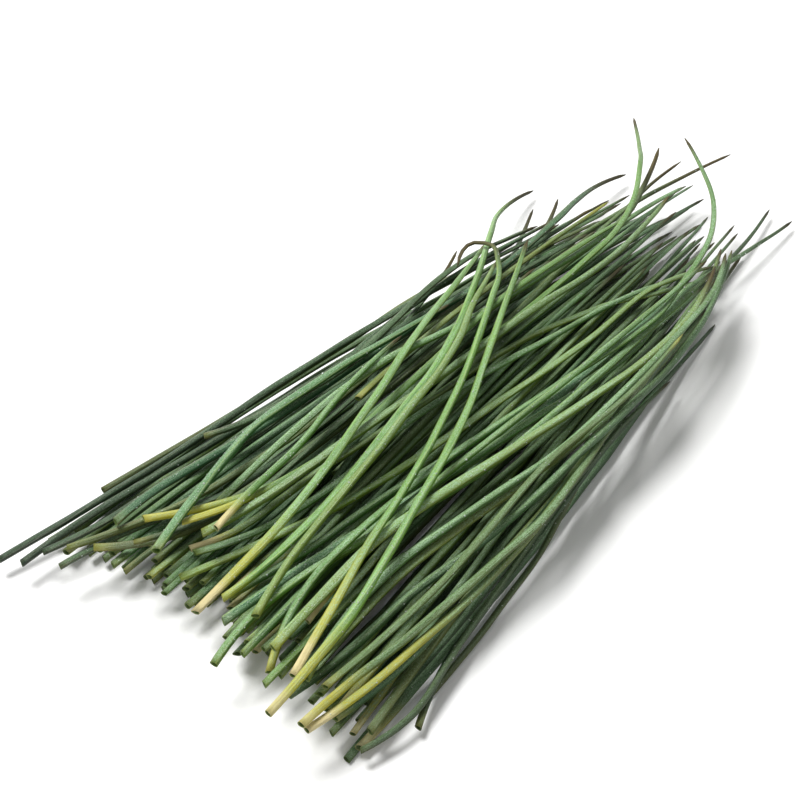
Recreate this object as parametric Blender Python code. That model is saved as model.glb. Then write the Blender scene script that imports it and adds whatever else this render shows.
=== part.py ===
"""A bunch of wild onion leaves lying on a surface, modelled at its real size.

The lengths below are millimetres and the meshes are metres. +X runs from the cut ends to the
tips, +Z is up, and the origin is under the middle of the bunch's box.
"""

import math
import random

import bpy
import numpy as np

MM = 0.001
SEED = 5

# The heap: its outline seen from above, its crown and its leaves
CUT_END_X = -100
CUT_HALF_WIDTH = 63
TIP_HALF_WIDTH = 27
BULGE = 4
LEAN = 4
LEAN_LENGTH = 100
HEAP_LENGTH = 240
RECESS = 12
CROWN_HEIGHT = 18
CROWN_FALL = 0.4
FALL_FROM = 20
FALL_LENGTH = 120
HEAP_LEAVES = 100
HEAP_TRIES = 30
SHORTEST_LEAF = 150
LONGEST_LEAF = 258
MEAN_LEAF = 228

# One leaf: half its width, thickness against width, and the share of its length that a tip rises over
SLIMMEST_HALF_WIDTH = 1.15
WIDEST_HALF_WIDTH = 1.65
THICKNESS = 0.8
CLEARANCE = 0.4
RISING_SHARE = 0.35

# Stations along a leaf, more of them where its route has more than its usual points, and corners round it
STATIONS = 9
ROUTE_POINTS = 5
MORE_STATIONS = 2
CORNERS = 5

# The map of heights that each new leaf is laid on
CELL = 0.5
MAP_X = (-170, 205)
MAP_Y = (-100, 110)

# The heap's solid: only the leaves that show stand out of the packed middle
SHOWING_LEAVES = 50
UNDERSIDE_LEAVES = 30
PRESSED_FLAT = 0.4
MIDDLE_UNDERSIDE = 1.0
MIDDLE_RIDGES = 15
RIDGE_DEPTH = 1.5
MIDDLE_LOWEST_TOP = MIDDLE_UNDERSIDE + RIDGE_DEPTH + 0.5
MIDDLE_ENDS = (-88, 104)
MIDDLE_INSET = 6
MIDDLE_STATIONS = 13
MIDDLE_COLUMNS = 11
KEEL_DEPTH = 1.2
FLAT_SPOT = (26, 12, 4)
FLAT_SPOT_X = -12

# Each leaf on top: half width, route from its cut end to its tip, and how far its tip rises
LEAF_ROUTES = {
    "tip_leaf_01": (1.3, [(-40, 6), (0, 10), (98, 20), (138, 15), (156, 10), (169, 7), (175, 4)], 6),
    "tip_leaf_02": (1.2, [(-30, 2), (10, 6), (102, 14), (126, 14), (137, 14), (151, 14), (154, 12)], 5),
    "tip_leaf_03": (1.7, [(-50, -4), (-5, 0), (80, 11), (101, 9), (116, 8), (129, 11), (146, 17)], 8),
    "tip_leaf_04": (1.3, [(-70, -30), (46, -31), (77, -29), (108, -24), (136, -22), (175, -15)], 3),
    "tip_leaf_05": (1.2, [(-60, 6), (-20, 18), (27, 37), (52, 43), (75, 51)], 3),
    "tip_leaf_06": (1.3, [(-60, -2), (-20, 8), (37, 15), (61, 23), (82, 32), (114, 47)], 2),
    "tip_leaf_07": (1.4, [(-40, 0), (0, 8), (56, 16), (87, 28), (108, 36), (125, 44)], 2),
    "left_leaf_11": (1.5, [(-84, 62), (-67, 59), (-36, 54), (5, 48), (54, 41), (90, 36)], 0),
    "left_leaf_01": (1.5, [(-123, 65), (-58, 54), (-17, 50), (24, 43), (106, 30)], 0),
    "left_leaf_02": (1.5, [(-121, 57), (-93, 55), (-62, 50), (17, 37), (53, 32), (118, 25)], 0),
    "left_leaf_03": (
        1.4,
        [
            (-115, 54), (-104, 50), (-86, 47), (-61, 42), (-35, 37), (40, 38),
            (106, 32),
        ],
        0,
    ),
    "left_leaf_04": (
        1.3,
        [
            (-117, 44), (-107, 42), (-97, 39), (-81, 33), (-61, 25), (40, 22),
            (106, 18),
        ],
        0,
    ),
    "left_leaf_05": (
        1.4,
        [
            (-112, 46), (-99, 40), (-83, 33), (-58, 28), (-34, 25), (60, 26),
            (120, 22),
        ],
        0,
    ),
    "left_leaf_06": (1.6, [(-107, 40), (-99, 32), (-88, 25), (-73, 20), (40, 14), (102, 12)], 0),
    "left_leaf_07": (1.2, [(-109, 25), (-102, 26), (-94, 25), (-85, 22), (0, 14), (70, 14)], 0),
    "left_leaf_08": (1.2, [(-101, 29), (-93, 25), (-83, 20), (-67, 15), (30, 16), (84, 17)], 0),
    "left_leaf_09": (
        1.7,
        [
            (-98, 40), (-82, 41), (-51, 37), (-6, 32), (51, 26), (98, 28),
            (135, 37), (158, 37),
        ],
        4,
    ),
    "left_leaf_10": (1.4, [(-56, 45), (-44, 39), (-25, 34), (-4, 31), (50, 38), (103, 37)], 0),
    "tip_leaf_08": (1.2, [(-20, 14), (35, 20), (97, 23), (111, 23), (126, 23)], 0),
    "top_leaf_01": (1.5, [(-72, 24), (-20, 22), (23, 13), (51, 10), (75, 8), (118, 5), (142, 2)], 0),
    "cut_leaf_01": (
        1.4,
        [
            (-89, 19), (-78, 13), (-52, 9), (-17, 3), (42, -1), (79, -10),
            (102, -18), (125, -24),
        ],
        0,
    ),
    "cut_leaf_02": (
        1.4,
        [
            (-90, 16), (-81, 10), (-70, 5), (-49, 0), (-4, -1), (41, -6),
            (91, -14), (122, -18),
        ],
        0,
    ),
    "yellow_leaf_01": (1.5, [(-94, 32), (-86, 26), (-74, 17), (-59, 11), (-40, 7), (50, 9), (112, 5)], 0),
    "yellow_leaf_02": (
        1.4,
        [
            (-89, 21), (-78, 16), (-69, 11), (-35, 5), (56, 2), (84, 2),
            (106, 3), (125, 11), (173, 45),
        ],
        18,
    ),
    "cut_leaf_03": (1.7, [(-89, 13), (-75, 9), (-63, 6), (-21, 2), (44, 0), (87, -3), (131, 2)], 0),
    "cut_leaf_04": (
        1.5,
        [
            (-99, 13), (-89, 8), (-58, -5), (-29, -9), (13, -12), (57, -16),
            (99, -17), (125, -22),
        ],
        0,
    ),
    "cut_leaf_05": (
        1.5,
        [
            (-94, -1), (-84, -3), (-74, -7), (-32, -13), (9, -19), (56, -24),
            (82, -26), (116, -25),
        ],
        0,
    ),
    "cut_leaf_06": (
        1.8,
        [
            (-104, -9), (-93, -10), (-72, -13), (-27, -20), (3, -24), (72, -24),
            (120, -20),
        ],
        0,
    ),
    "cut_leaf_07": (
        1.4,
        [
            (-109, -21), (-96, -20), (-67, -18), (-45, -20), (1, -25), (58, -30),
            (102, -25), (132, -25), (174, -25),
        ],
        3,
    ),
    "cut_leaf_08": (
        1.6,
        [
            (-116, -17), (-105, -15), (-91, -15), (-61, -21), (-6, -30), (83, -29),
            (118, -26),
        ],
        0,
    ),
    "cut_leaf_09": (
        1.5,
        [
            (-107, -29), (-85, -21), (-72, -21), (-25, -19), (24, -23), (74, -29),
            (102, -25), (124, -20), (141, -10), (160, 15),
        ],
        10,
    ),
    "cut_leaf_10": (1.4, [(-112, -32), (-104, -32), (-75, -30), (-46, -32), (18, -39), (110, -30)], 0),
    "cut_leaf_11": (1.4, [(-90, -28), (-76, -26), (-51, -25), (-27, -24), (60, -27), (113, -26)], 0),
    "right_leaf_01": (1.2, [(-80, -62), (-17, -55), (5, -49), (44, -40), (82, -34), (124, -27)], 0),
    "right_leaf_02": (1.3, [(-90, -68), (-83, -65), (-67, -60), (-26, -54), (37, -45), (110, -34)], 0),
    "right_leaf_03": (1.2, [(-107, -62), (-101, -64), (-87, -65), (-67, -61), (-14, -52), (70, -42)], 0),
    "right_leaf_04": (1.6, [(-102, -61), (-85, -58), (-52, -53), (0, -49), (69, -38), (119, -30)], 0),
    "right_leaf_05": (1.4, [(-107, -53), (-102, -55), (-65, -55), (-15, -52), (57, -42), (112, -31)], 0),
    "right_leaf_06": (
        1.5,
        [
            (-116, -51), (-100, -54), (-62, -56), (-39, -56), (-15, -54), (70, -40),
            (114, -33),
        ],
        0,
    ),
    "right_leaf_07": (
        1.5,
        [
            (-117, -50), (-106, -50), (-75, -53), (-38, -55), (-9, -55), (75, -38),
            (120, -30),
        ],
        0,
    ),
    "right_leaf_08": (1.6, [(-110, -39), (-93, -42), (-63, -43), (-21, -49), (63, -47), (124, -29)], 0),
    "right_leaf_09": (1.6, [(-105, -39), (-85, -38), (-54, -37), (5, -44), (64, -43), (122, -26)], 0),
    "top_leaf_02": (1.8, [(-104, -28), (-63, -27), (-37, -29), (2, -35), (63, -42), (110, -31)], 0),
    "top_leaf_03": (1.5, [(-106, -42), (-67, -35), (-24, -40), (7, -45), (78, -43), (118, -30)], 0),
    "tip_leaf_09": (1.3, [(-104, -47), (-55, -49), (-7, -46), (26, -48), (46, -48), (67, -46)], 0),
    "crossing_leaf_01": (1.7, [(-104, 16), (-86, 22), (-65, 28), (-51, 32), (-20, 31), (38, 25)], 0),
    "crossing_leaf_02": (1.4, [(-88, 8), (-65, 12), (-46, 14), (-28, 18), (-8, 20), (8, 20)], 0),
    "crossing_leaf_03": (1.6, [(-105, 1), (-92, 1), (-82, -1), (-42, 1), (14, 18), (76, 39)], 0),
    "crossing_leaf_04": (
        1.5,
        [
            (-98, -3), (-72, -6), (-27, -3), (14, 6), (55, 26), (71, 35),
            (101, 52), (129, 58),
        ],
        3,
    ),
    "crossing_leaf_05": (1.5, [(-99, -17), (-74, -11), (-22, -5), (11, 2), (31, 11), (63, 25)], 0),
    "crossing_leaf_06": (
        1.5,
        [
            (-108, -39), (-80, -32), (-46, -23), (5, -6), (39, 9), (54, 17),
            (62, 24), (68, 31), (69, 37), (63, 38), (55, 35),
        ],
        1,
    ),
    "crossing_leaf_07": (1.6, [(-122, -43), (-107, -42), (-78, -38), (-10, -18), (41, 5), (72, 19)], 0),
}

FAMILY_COLOURS = {
    "left_leaf": (0.035, 0.075, 0.028),
    "yellow_leaf": (0.42, 0.40, 0.06),
    "cut_leaf": (0.17, 0.27, 0.11),
    "right_leaf": (0.12, 0.20, 0.07),
    "top_leaf": (0.24, 0.33, 0.18),
    "crossing_leaf": (0.27, 0.36, 0.16),
    "tip_leaf": (0.15, 0.19, 0.08),
}
INNER_COLOUR = (0.05, 0.09, 0.035)
LEAF_ROUGHNESS = 0.45


class HeightMap:
    """How high the leaves laid so far reach, over a grid of the surface, and which leaf is on top."""

    def __init__(self):
        shape = [round((high - low) / CELL) for low, high in (MAP_X, MAP_Y)]
        self.top = np.full(shape, -CLEARANCE)
        self.owner = np.full(shape, -1)
        self.laid = 0

    def cells(self, points):
        i = ((points[..., 0] - MAP_X[0]) / CELL).astype(int)
        j = ((points[..., 1] - MAP_Y[0]) / CELL).astype(int)
        return np.clip(i, 0, self.top.shape[0] - 1), np.clip(j, 0, self.top.shape[1] - 1)

    def lowest_rest(self, path, side, half_width):
        """The lowest height of a leaf's middle line at which it clears what lies under it."""
        share = np.linspace(-1, 1, 11)
        reach = half_width[:, None] + CLEARANCE
        spots = path[:, None, :] + side[:, None, :] * (reach * share)[..., None]
        arch = np.sqrt(1 - 0.97 * share**2)
        rise = (THICKNESS * half_width[:, None] + CLEARANCE) * arch
        return (self.top[self.cells(spots)] + rise).max(axis=1)

    def add(self, path, side, height, half_width):
        share = np.linspace(-1.15, 1.15, 15)
        spots = path[:, None, :] + side[:, None, :] * (half_width[:, None] * share)[..., None]
        arch = np.sqrt(np.maximum(0, 1 - share**2))
        top = (height[:, None] + THICKNESS * half_width[:, None] * arch).ravel()
        i, j = (cells.ravel() for cells in self.cells(spots))
        order = np.argsort(top)
        i, j, top = i[order], j[order], top[order]
        higher = top > self.top[i, j]
        self.top[i[higher], j[higher]] = top[higher]
        self.owner[i[higher], j[higher]] = self.laid
        self.laid += 1


def smooth_path(points, count):
    """Evenly spaced stations on a smooth curve through the points."""
    points = np.array(points, float)
    along = np.r_[0, np.cumsum(np.linalg.norm(np.diff(points, axis=0), axis=1))]
    slope = np.empty_like(points)
    slope[1:-1] = (points[2:] - points[:-2]) / (along[2:] - along[:-2])[:, None]
    slope[0] = 2 * (points[1] - points[0]) / along[1] - slope[1]
    slope[-1] = 2 * (points[-1] - points[-2]) / (along[-1] - along[-2]) - slope[-2]
    stations = np.linspace(0, along[-1], count)
    k = np.clip(np.searchsorted(along, stations, side="right") - 1, 0, len(points) - 2)
    span = (along[k + 1] - along[k])[:, None]
    u = (stations - along[k])[:, None] / span
    return (
        (2 * u**3 - 3 * u**2 + 1) * points[k]
        + (u**3 - 2 * u**2 + u) * span * slope[k]
        + (3 * u**2 - 2 * u**3) * points[k + 1]
        + (u**3 - u**2) * span * slope[k + 1]
    )


def sideways(path):
    """Level unit vectors to the right of a path seen from above."""
    along = np.gradient(path, axis=0)
    along /= np.linalg.norm(along, axis=1)[:, None]
    return np.stack([along[:, 1], -along[:, 0]], axis=1)


def station_shares(count, steps):
    """For each step of the straight runs between stations: the station before it, and its share."""
    spots = np.linspace(0, count - 1, (count - 1) * steps + 1)
    before = np.minimum(spots.astype(int), count - 2)
    return before, spots - before


def between(values, steps):
    before, share = station_shares(len(values), steps)
    if values.ndim > 1:
        share = share[:, None]
    return values[before] * (1 - share) + values[before + 1] * share


def millimetre_steps(path):
    longest = np.linalg.norm(np.diff(path, axis=0), axis=1).max()
    return max(4, math.ceil(longest))


def settle(heights, path, half_width):
    """Heights of the stations of a limp leaf laid down on what is there, clear of it all along."""
    steps = millimetre_steps(path)
    side = sideways(path)
    rest = heights.lowest_rest(between(path, steps), between(side, steps), between(half_width, steps))
    before, share = station_shares(len(path), steps)
    height = rest[::steps].copy()
    for _ in range(40):
        bent = height.copy()
        bent[1:-1] = 0.5 * height[1:-1] + 0.25 * (height[:-2] + height[2:])
        bent[0] = 0.6 * height[0] + 0.4 * (2 * height[1] - height[2])
        bent[-1] = 0.6 * height[-1] + 0.4 * (2 * height[-2] - height[-3])
        height = bent - 0.05
        for _ in range(3):
            short = rest - between(height, steps)
            rise = np.zeros(len(path))
            np.maximum.at(rise, before, short * (1 - share))
            np.maximum.at(rise, before + 1, short * share)
            height += rise
    short = np.maximum(rest - between(height, steps), 0)
    rise = np.zeros(len(path))
    np.maximum.at(rise, before, short)
    np.maximum.at(rise, before + 1, short)
    return height + rise


def lay_leaf(heights, path, half_width, tip_rise=0):
    """Lays a leaf on the heap and returns its stations as (x, y, z)."""
    share = np.linspace(0, 1, len(path))
    lift = tip_rise * np.clip(1 - (1 - share) / RISING_SHARE, 0, 1) ** 1.5
    height = settle(heights, path, half_width) + lift
    steps = 2 * millimetre_steps(path)
    heights.add(
        between(path, steps),
        between(sideways(path), steps),
        between(height, steps),
        between(half_width, steps),
    )
    return np.column_stack([path, height])


def taper(count, half_width):
    """Half widths along a leaf: a little slimmer at the cut, fullest after it, fine at the tip."""
    share = np.linspace(0, 1, count)
    base = 0.93 + 0.07 * np.clip(share / 0.15, 0, 1)
    return half_width * base * (1 - 0.18 * share - 0.38 * share**6)


def half_spread(x):
    """Half the bunch's width at x."""
    share = (x - CUT_END_X) / HEAP_LENGTH
    bulge = BULGE * np.sin(math.pi * np.clip(share, 0, 1))
    return CUT_HALF_WIDTH + (TIP_HALF_WIDTH - CUT_HALF_WIDTH) * share + bulge


def middle_line(x):
    """How far the bunch's middle leans to its left at x."""
    return LEAN * np.clip((x - CUT_END_X) / LEAN_LENGTH, 0, 1)


def dome(path):
    """The height that the heap fills up to."""
    off_middle = path[:, 1] - middle_line(path[:, 0])
    across = np.clip(off_middle / (half_spread(path[:, 0]) + 3), -1, 1)
    fall = 1 - CROWN_FALL * np.clip((path[:, 0] - FALL_FROM) / FALL_LENGTH, 0, 1)
    return CROWN_HEIGHT * np.sqrt(1 - across**2) * fall


def heap_path(draw, height_share):
    """A leaf's way through the heap: low leaves are drawn back from the cut end."""
    across = draw.uniform(-1, 1)
    start = CUT_END_X + RECESS * (1 - height_share) - 6 * across**2 + draw.uniform(-8, 6)
    length = min(LONGEST_LEAF, max(SHORTEST_LEAF, draw.gauss(MEAN_LEAF, 20)))
    y_cut = CUT_HALF_WIDTH * across
    y_tip = TIP_HALF_WIDTH * across + LEAN + draw.gauss(0, 3.5)
    y_middle = (y_cut + y_tip + LEAN) / 2 + BULGE * across + draw.gauss(0, 2.0)
    points = [(start, y_cut), (start + length / 2, y_middle), (start + length, y_tip)]
    return smooth_path(points, STATIONS)


def lay_heap(heights):
    """The heap's leaves, each laid where the heap is furthest below its dome: (spine, half widths)."""
    draw = random.Random(SEED)
    leaves = []
    for number in range(HEAP_LEAVES):
        half_width = taper(STATIONS, draw.uniform(SLIMMEST_HALF_WIDTH, WIDEST_HALF_WIDTH))
        lowest = None
        for _ in range(HEAP_TRIES):
            path = heap_path(draw, number / HEAP_LEAVES)
            fine = between(path, 4)
            rest = heights.lowest_rest(fine, between(sideways(path), 4), between(half_width, 4))
            spare = (rest - dome(fine)).mean()
            if lowest is None or spare < lowest[0]:
                lowest = (spare, path)
        leaves.append((lay_leaf(heights, lowest[1], half_width), half_width))
    return leaves


def lay_top_leaves(heights):
    """The leaves that are seen one by one, in the order they lie: {name: (spine, half widths)}."""
    leaves = {}
    for name, (half_width, route, tip_rise) in LEAF_ROUTES.items():
        count = STATIONS + MORE_STATIONS * max(0, len(route) - ROUTE_POINTS)
        widths = taper(count, half_width)
        leaves[name] = (lay_leaf(heights, smooth_path(route, count), widths, tip_rise), widths)
    return leaves


def leaf_rings(spine, half_width):
    """The corners round a leaf at each station: one corner on top and a flat facet below."""
    along = np.gradient(spine, axis=0)
    along /= np.linalg.norm(along, axis=1)[:, None]
    side = np.column_stack([sideways(spine[:, :2]), np.zeros(len(spine))])
    up = np.cross(side, along)
    turns = math.pi / 2 + 2 * math.pi * np.arange(CORNERS) / CORNERS
    rings = (
        spine[:, None, :]
        + side[:, None, :] * (half_width[:, None] * np.cos(turns))[..., None]
        + up[:, None, :] * (THICKNESS * half_width[:, None] * np.sin(turns))[..., None]
    )
    pressed = rings[..., 2] < PRESSED_FLAT
    rings[..., 2][pressed] = 0
    return rings


def tube_faces(rings):
    """Faces that close a row of rings into one solid, facing out."""
    count, corners = rings.shape[:2]
    faces = [tuple(range(corners))]
    for ring in range(count - 1):
        for corner in range(corners):
            beside = (corner + 1) % corners
            a, b = ring * corners, (ring + 1) * corners
            faces.append((a + corner, b + corner, b + beside, a + beside))
    faces.append(tuple(reversed(range((count - 1) * corners, count * corners))))
    return faces


def add_mesh(name, points, faces):
    mesh = bpy.data.meshes.new(name)
    mesh.from_pydata((points * MM).tolist(), [], faces)
    mesh.update()
    piece = bpy.data.objects.new(name, mesh)
    bpy.context.scene.collection.objects.link(piece)
    return piece


def add_tube(name, rings):
    return add_mesh(name, rings.reshape(-1, 3), tube_faces(rings))


def middle_height(heights, x, y):
    """A height that stays under everything lying round this spot."""
    i, j = heights.cells(np.array([x, y], float))
    reach_x, reach_y = round(8 / CELL), round(3 / CELL)
    window = heights.top[i - reach_x : i + reach_x + 1, j - reach_y : j + reach_y + 1]
    return max(MIDDLE_LOWEST_TOP, window.min() - 0.4)


def underside_ridges(x, left, right):
    """The packed middle's underside at x: leaves side by side, as ridges from left to right."""
    count = 2 * MIDDLE_RIDGES
    ys = np.linspace(left, right, count + 1)
    return [(x, y, MIDDLE_UNDERSIDE + RIDGE_DEPTH * (number % 2 == 0)) for number, y in enumerate(ys)]


def middle_rings(heights):
    """The packed middle as rings across the bunch: over its top and back along its underside."""
    rings = []
    for x in np.linspace(*MIDDLE_ENDS, MIDDLE_STATIONS):
        left = middle_line(x) + half_spread(x) - MIDDLE_INSET
        right = middle_line(x) - half_spread(x) + MIDDLE_INSET
        ring = [(x, y, middle_height(heights, x, y)) for y in np.linspace(right, left, MIDDLE_COLUMNS)]
        ring += underside_ridges(x, left, right)
        rings.append(ring)
    return np.array(rings)


def with_keel(rings, middle):
    """Sinks a heap leaf's lower corners into the packed middle wherever that lies under it."""
    first, last = middle[0, 0, 0] + 2, middle[-1, 0, 0] - 2
    for ring in rings:
        x, y = ring[:, :2].mean(axis=0)
        if not first < x < last or abs(y - middle_line(x)) > half_spread(x) - MIDDLE_INSET - 2:
            continue
        station = np.abs(middle[:, 0, 0] - x).argmin()
        near = middle[max(0, station - 1) : station + 2, :MIDDLE_COLUMNS]
        close = np.abs(near[..., 1] - y) < 2 * half_spread(x) / (MIDDLE_COLUMNS - 1)
        floor = max(MIDDLE_LOWEST_TOP - 0.3, near[..., 2][close].min() - KEEL_DEPTH)
        low = np.argsort(ring[:, 2])[:2]
        ring[low, 2] = np.minimum(ring[low, 2], floor)
    return rings


def heap_pieces(middle, leaves, cover):
    """The heap's own solids: its middle, the leaves that show and some of those underneath."""
    pieces = [add_tube("packed_middle", middle)]
    length, width, depth = FLAT_SPOT
    spot = [
        [(x, -width / 2, 0), (x, width / 2, 0), (x, width / 2, depth), (x, -width / 2, depth)]
        for x in (FLAT_SPOT_X - length / 2, FLAT_SPOT_X + length / 2)
    ]
    pieces.append(add_tube("flat_spot", np.array(spot, float)[:, ::-1]))
    shown = np.bincount(cover[cover >= 0])[: len(leaves)]
    chosen = set(np.argsort(-shown)[:SHOWING_LEAVES].tolist())
    for number in sorted(chosen):
        spine, half_width = leaves[number]
        rings = with_keel(leaf_rings(spine, half_width), middle)
        pieces.append(add_tube(f"heap_leaf_{number:03d}", rings))
    low = [n for n, (spine, _) in enumerate(leaves) if n not in chosen and spine[:, 2].max() < 4]
    for number in low[:UNDERSIDE_LEAVES]:
        pieces.append(add_tube(f"heap_leaf_{number:03d}", leaf_rings(*leaves[number])))
    return pieces


def clear_scene():
    for piece in list(bpy.data.objects):
        bpy.data.objects.remove(piece, do_unlink=True)


def leaf_material(name, colour):
    material = bpy.data.materials.new(name)
    material.use_nodes = True
    shader = material.node_tree.nodes["Principled BSDF"]
    shader.inputs["Base Color"].default_value = (*colour, 1)
    shader.inputs["Roughness"].default_value = LEAF_ROUGHNESS
    shader.inputs["Metallic"].default_value = 0
    return material


def fuse(pieces, name):
    """Joins the pieces into one solid and removes them."""
    body, others = pieces[0], pieces[1:]
    repeats = bpy.data.collections.new(f"{name}_repeats")
    bpy.context.scene.collection.children.link(repeats)
    for piece in others:
        repeats.objects.link(piece)
        bpy.context.scene.collection.objects.unlink(piece)
    union = body.modifiers.new("union", "BOOLEAN")
    union.operation = "UNION"
    union.operand_type = "COLLECTION"
    union.collection = repeats
    union.solver = "EXACT"
    bpy.context.view_layer.update()
    joined = bpy.data.meshes.new_from_object(body.evaluated_get(bpy.context.evaluated_depsgraph_get()))
    clear_scene()
    bpy.data.collections.remove(repeats)
    joined.name = name
    return joined


def largest_shell(mesh):
    """The mesh's outer shell alone: its points and faces, without sealed hollows and loose scraps."""
    points = np.array([vertex.co[:] for vertex in mesh.vertices]) / MM
    faces = [tuple(face.vertices) for face in mesh.polygons]
    parent = list(range(len(points)))

    def root(point):
        while parent[point] != point:
            parent[point] = parent[parent[point]]
            point = parent[point]
        return point

    for face in faces:
        for corner in face[1:]:
            parent[root(corner)] = root(face[0])
    roots = [root(face[0]) for face in faces]
    largest = max(set(roots), key=roots.count)
    faces = [face for face, start in zip(faces, roots) if start == largest]
    used = sorted({corner for face in faces for corner in face})
    place = {corner: number for number, corner in enumerate(used)}
    return points[used], [tuple(place[corner] for corner in face) for face in faces]


def colour_of(name):
    family = name.rsplit("_", 1)[0]
    return FAMILY_COLOURS.get(family, INNER_COLOUR)


def main():
    clear_scene()
    heights = HeightMap()
    heap = lay_heap(heights)
    middle = middle_rings(heights)
    top_leaves = lay_top_leaves(heights)
    fused = fuse(heap_pieces(middle, heap, heights.owner), "leaf_heap")
    solids = {"leaf_heap": largest_shell(fused)}
    for name, (spine, half_width) in top_leaves.items():
        rings = leaf_rings(spine, half_width)
        solids[name] = (rings.reshape(-1, 3), tube_faces(rings))
    lowest = np.min([points.min(axis=0) for points, _ in solids.values()], axis=0)
    highest = np.max([points.max(axis=0) for points, _ in solids.values()], axis=0)
    origin = np.array([*(lowest + highest)[:2] / 2, 0])
    for name, (points, faces) in solids.items():
        piece = add_mesh(name, points - origin, faces)
        piece.data.materials.append(leaf_material(name, colour_of(name)))


main()
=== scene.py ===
"""The looks of a bunch of wild onion leaves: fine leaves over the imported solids, dew, light and camera."""

import math
import random

import bpy
import numpy as np
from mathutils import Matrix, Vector


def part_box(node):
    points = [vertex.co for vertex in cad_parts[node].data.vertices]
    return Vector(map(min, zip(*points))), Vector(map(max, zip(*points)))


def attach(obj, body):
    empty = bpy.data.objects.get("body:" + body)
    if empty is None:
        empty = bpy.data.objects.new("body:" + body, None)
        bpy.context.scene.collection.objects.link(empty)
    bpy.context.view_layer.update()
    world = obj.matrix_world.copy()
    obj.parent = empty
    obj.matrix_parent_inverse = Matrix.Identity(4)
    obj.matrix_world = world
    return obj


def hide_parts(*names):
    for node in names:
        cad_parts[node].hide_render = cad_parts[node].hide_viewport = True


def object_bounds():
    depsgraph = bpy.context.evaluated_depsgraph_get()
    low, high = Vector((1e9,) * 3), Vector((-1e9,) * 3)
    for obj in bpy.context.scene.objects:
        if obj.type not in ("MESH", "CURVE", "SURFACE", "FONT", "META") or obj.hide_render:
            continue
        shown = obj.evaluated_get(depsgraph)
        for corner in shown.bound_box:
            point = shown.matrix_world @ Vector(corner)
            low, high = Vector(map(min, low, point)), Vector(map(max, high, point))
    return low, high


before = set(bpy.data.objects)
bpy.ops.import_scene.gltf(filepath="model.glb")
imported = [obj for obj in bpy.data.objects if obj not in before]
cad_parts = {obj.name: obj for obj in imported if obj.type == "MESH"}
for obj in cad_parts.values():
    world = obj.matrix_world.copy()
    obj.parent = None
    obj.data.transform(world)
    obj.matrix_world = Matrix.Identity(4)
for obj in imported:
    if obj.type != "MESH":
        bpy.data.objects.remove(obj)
cad_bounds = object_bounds()

MM = 0.001
SEED = 5

# The heap: its outline seen from above, its crown and its leaves
CUT_END_X = -100
CUT_HALF_WIDTH = 63
TIP_HALF_WIDTH = 27
BULGE = 4
LEAN = 4
LEAN_LENGTH = 100
HEAP_LENGTH = 240
RECESS = 12
CROWN_HEIGHT = 18
CROWN_FALL = 0.4
FALL_FROM = 20
FALL_LENGTH = 120
HEAP_LEAVES = 100
HEAP_TRIES = 30
SHORTEST_LEAF = 150
LONGEST_LEAF = 258
MEAN_LEAF = 228

# How much the heap's leaves vary in millimetres: how far the outer ones are drawn back and each is moved at
# the cut, their length, how far their tips and middles stray, and what the dome has beyond the outline
CUT_CURVE = 6
CUT_MOVES = (-8, 6)
LENGTH_SPREAD = 20
TIP_SPREAD = 3.5
MIDDLE_SPREAD = 2.0
DOME_MARGIN = 3

# One leaf: half its width, thickness against width, and the share of its length that a tip rises over
SLIMMEST_HALF_WIDTH = 1.15
WIDEST_HALF_WIDTH = 1.65
THICKNESS = 0.8
CLEARANCE = 0.4
RISING_SHARE = 0.35
RISE_POWER = 1.5

# How a leaf tapers, in shares of its half width: what it has at the cut, what it gains over a share of its
# length, what it loses evenly and towards the tip, and the most that is left
CUT_WIDTH = 0.93
CUT_GAIN = 0.07
GAIN_LENGTH = 0.15
EVEN_LOSS = 0.18
TIP_LOSS = 0.38
TIP_POWER = 6
FULLEST_SHARE = 0.97

# Stations along a leaf, more of them where its route has more than its usual points, and corners round it
STATIONS = 9
ROUTE_POINTS = 5
MORE_STATIONS = 2
SOLID_CORNERS = 5

# The map of heights that each new leaf is laid on
CELL = 0.5
MAP_X = (-170, 205)
MAP_Y = (-100, 110)

# How a leaf is tried and marked on the map: places across it, how far its arch comes down, and how far past
# its edges it is marked
TRIED_PLACES = 11
ARCH_FALL = 0.97
MARKED_PLACES = 15
MARKED_REACH = 1.15

# How a limp leaf settles: rounds of sinking, how far it sinks in each, rounds of lifting it clear, and how
# much its ends give way
SETTLE_ROUNDS = 40
SINK = 0.05
LIFT_ROUNDS = 3
END_GIVE = 0.4

# The fine leaves: a ring each few millimetres, with three soft ridges that turn along the leaf
RING_STEP = 3.2
CORNERS = 12
RIDGES = 3
RIDGE_SHARE = 0.18
FINE_REACH = 0.95
FEWEST_RINGS = 12
HEAP_PIECE_LEAVES = 46

# What wavers along a fine leaf: the lengths of its waves in millimetres and how strong they are
WIDTH_WAVES = (23, 41, 67)
WIDTH_WAVER = 0.07
SIDE_WAVES = (31, 53, 90)
SIDE_WAVER = 0.22
FLAT_WAVES = (45, 80)
FLAT_WAVER = 0.10
TURN_WAVES = (60, 110)
TURN_WAVER = 0.5
TURN_PER_MM = 0.006
TURN_SPREAD = 1.6

# The ends of a fine leaf in millimetres: where it starts to waver, where its tip rounds off and how much of
# its width is left there, and how slanted its cut is
WAVER_FROM = 20
TIP_ROUNDING = 2.5
TIP_LEFT = 0.1
SLANT = 0.5

# The bore at the cut: its share of the leaf's width, and its rings: depth in millimetres, share, and
# darkness, which is painted shade in the hollow, darkest at its deepest ring
BORE = 0.66
BORE_RINGS = ((0.12, BORE + 0.16, 0.0), (0.45, BORE, 0.3), (2.4, 0.8 * BORE, 1.0))

# Lengths in millimetres at which a base is fully pale or yellow, and over which each fades out
FULL_PALE = 8
PALE_FADE = 4
FULL_WARM = 12
WARM_FADE = 3

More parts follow.
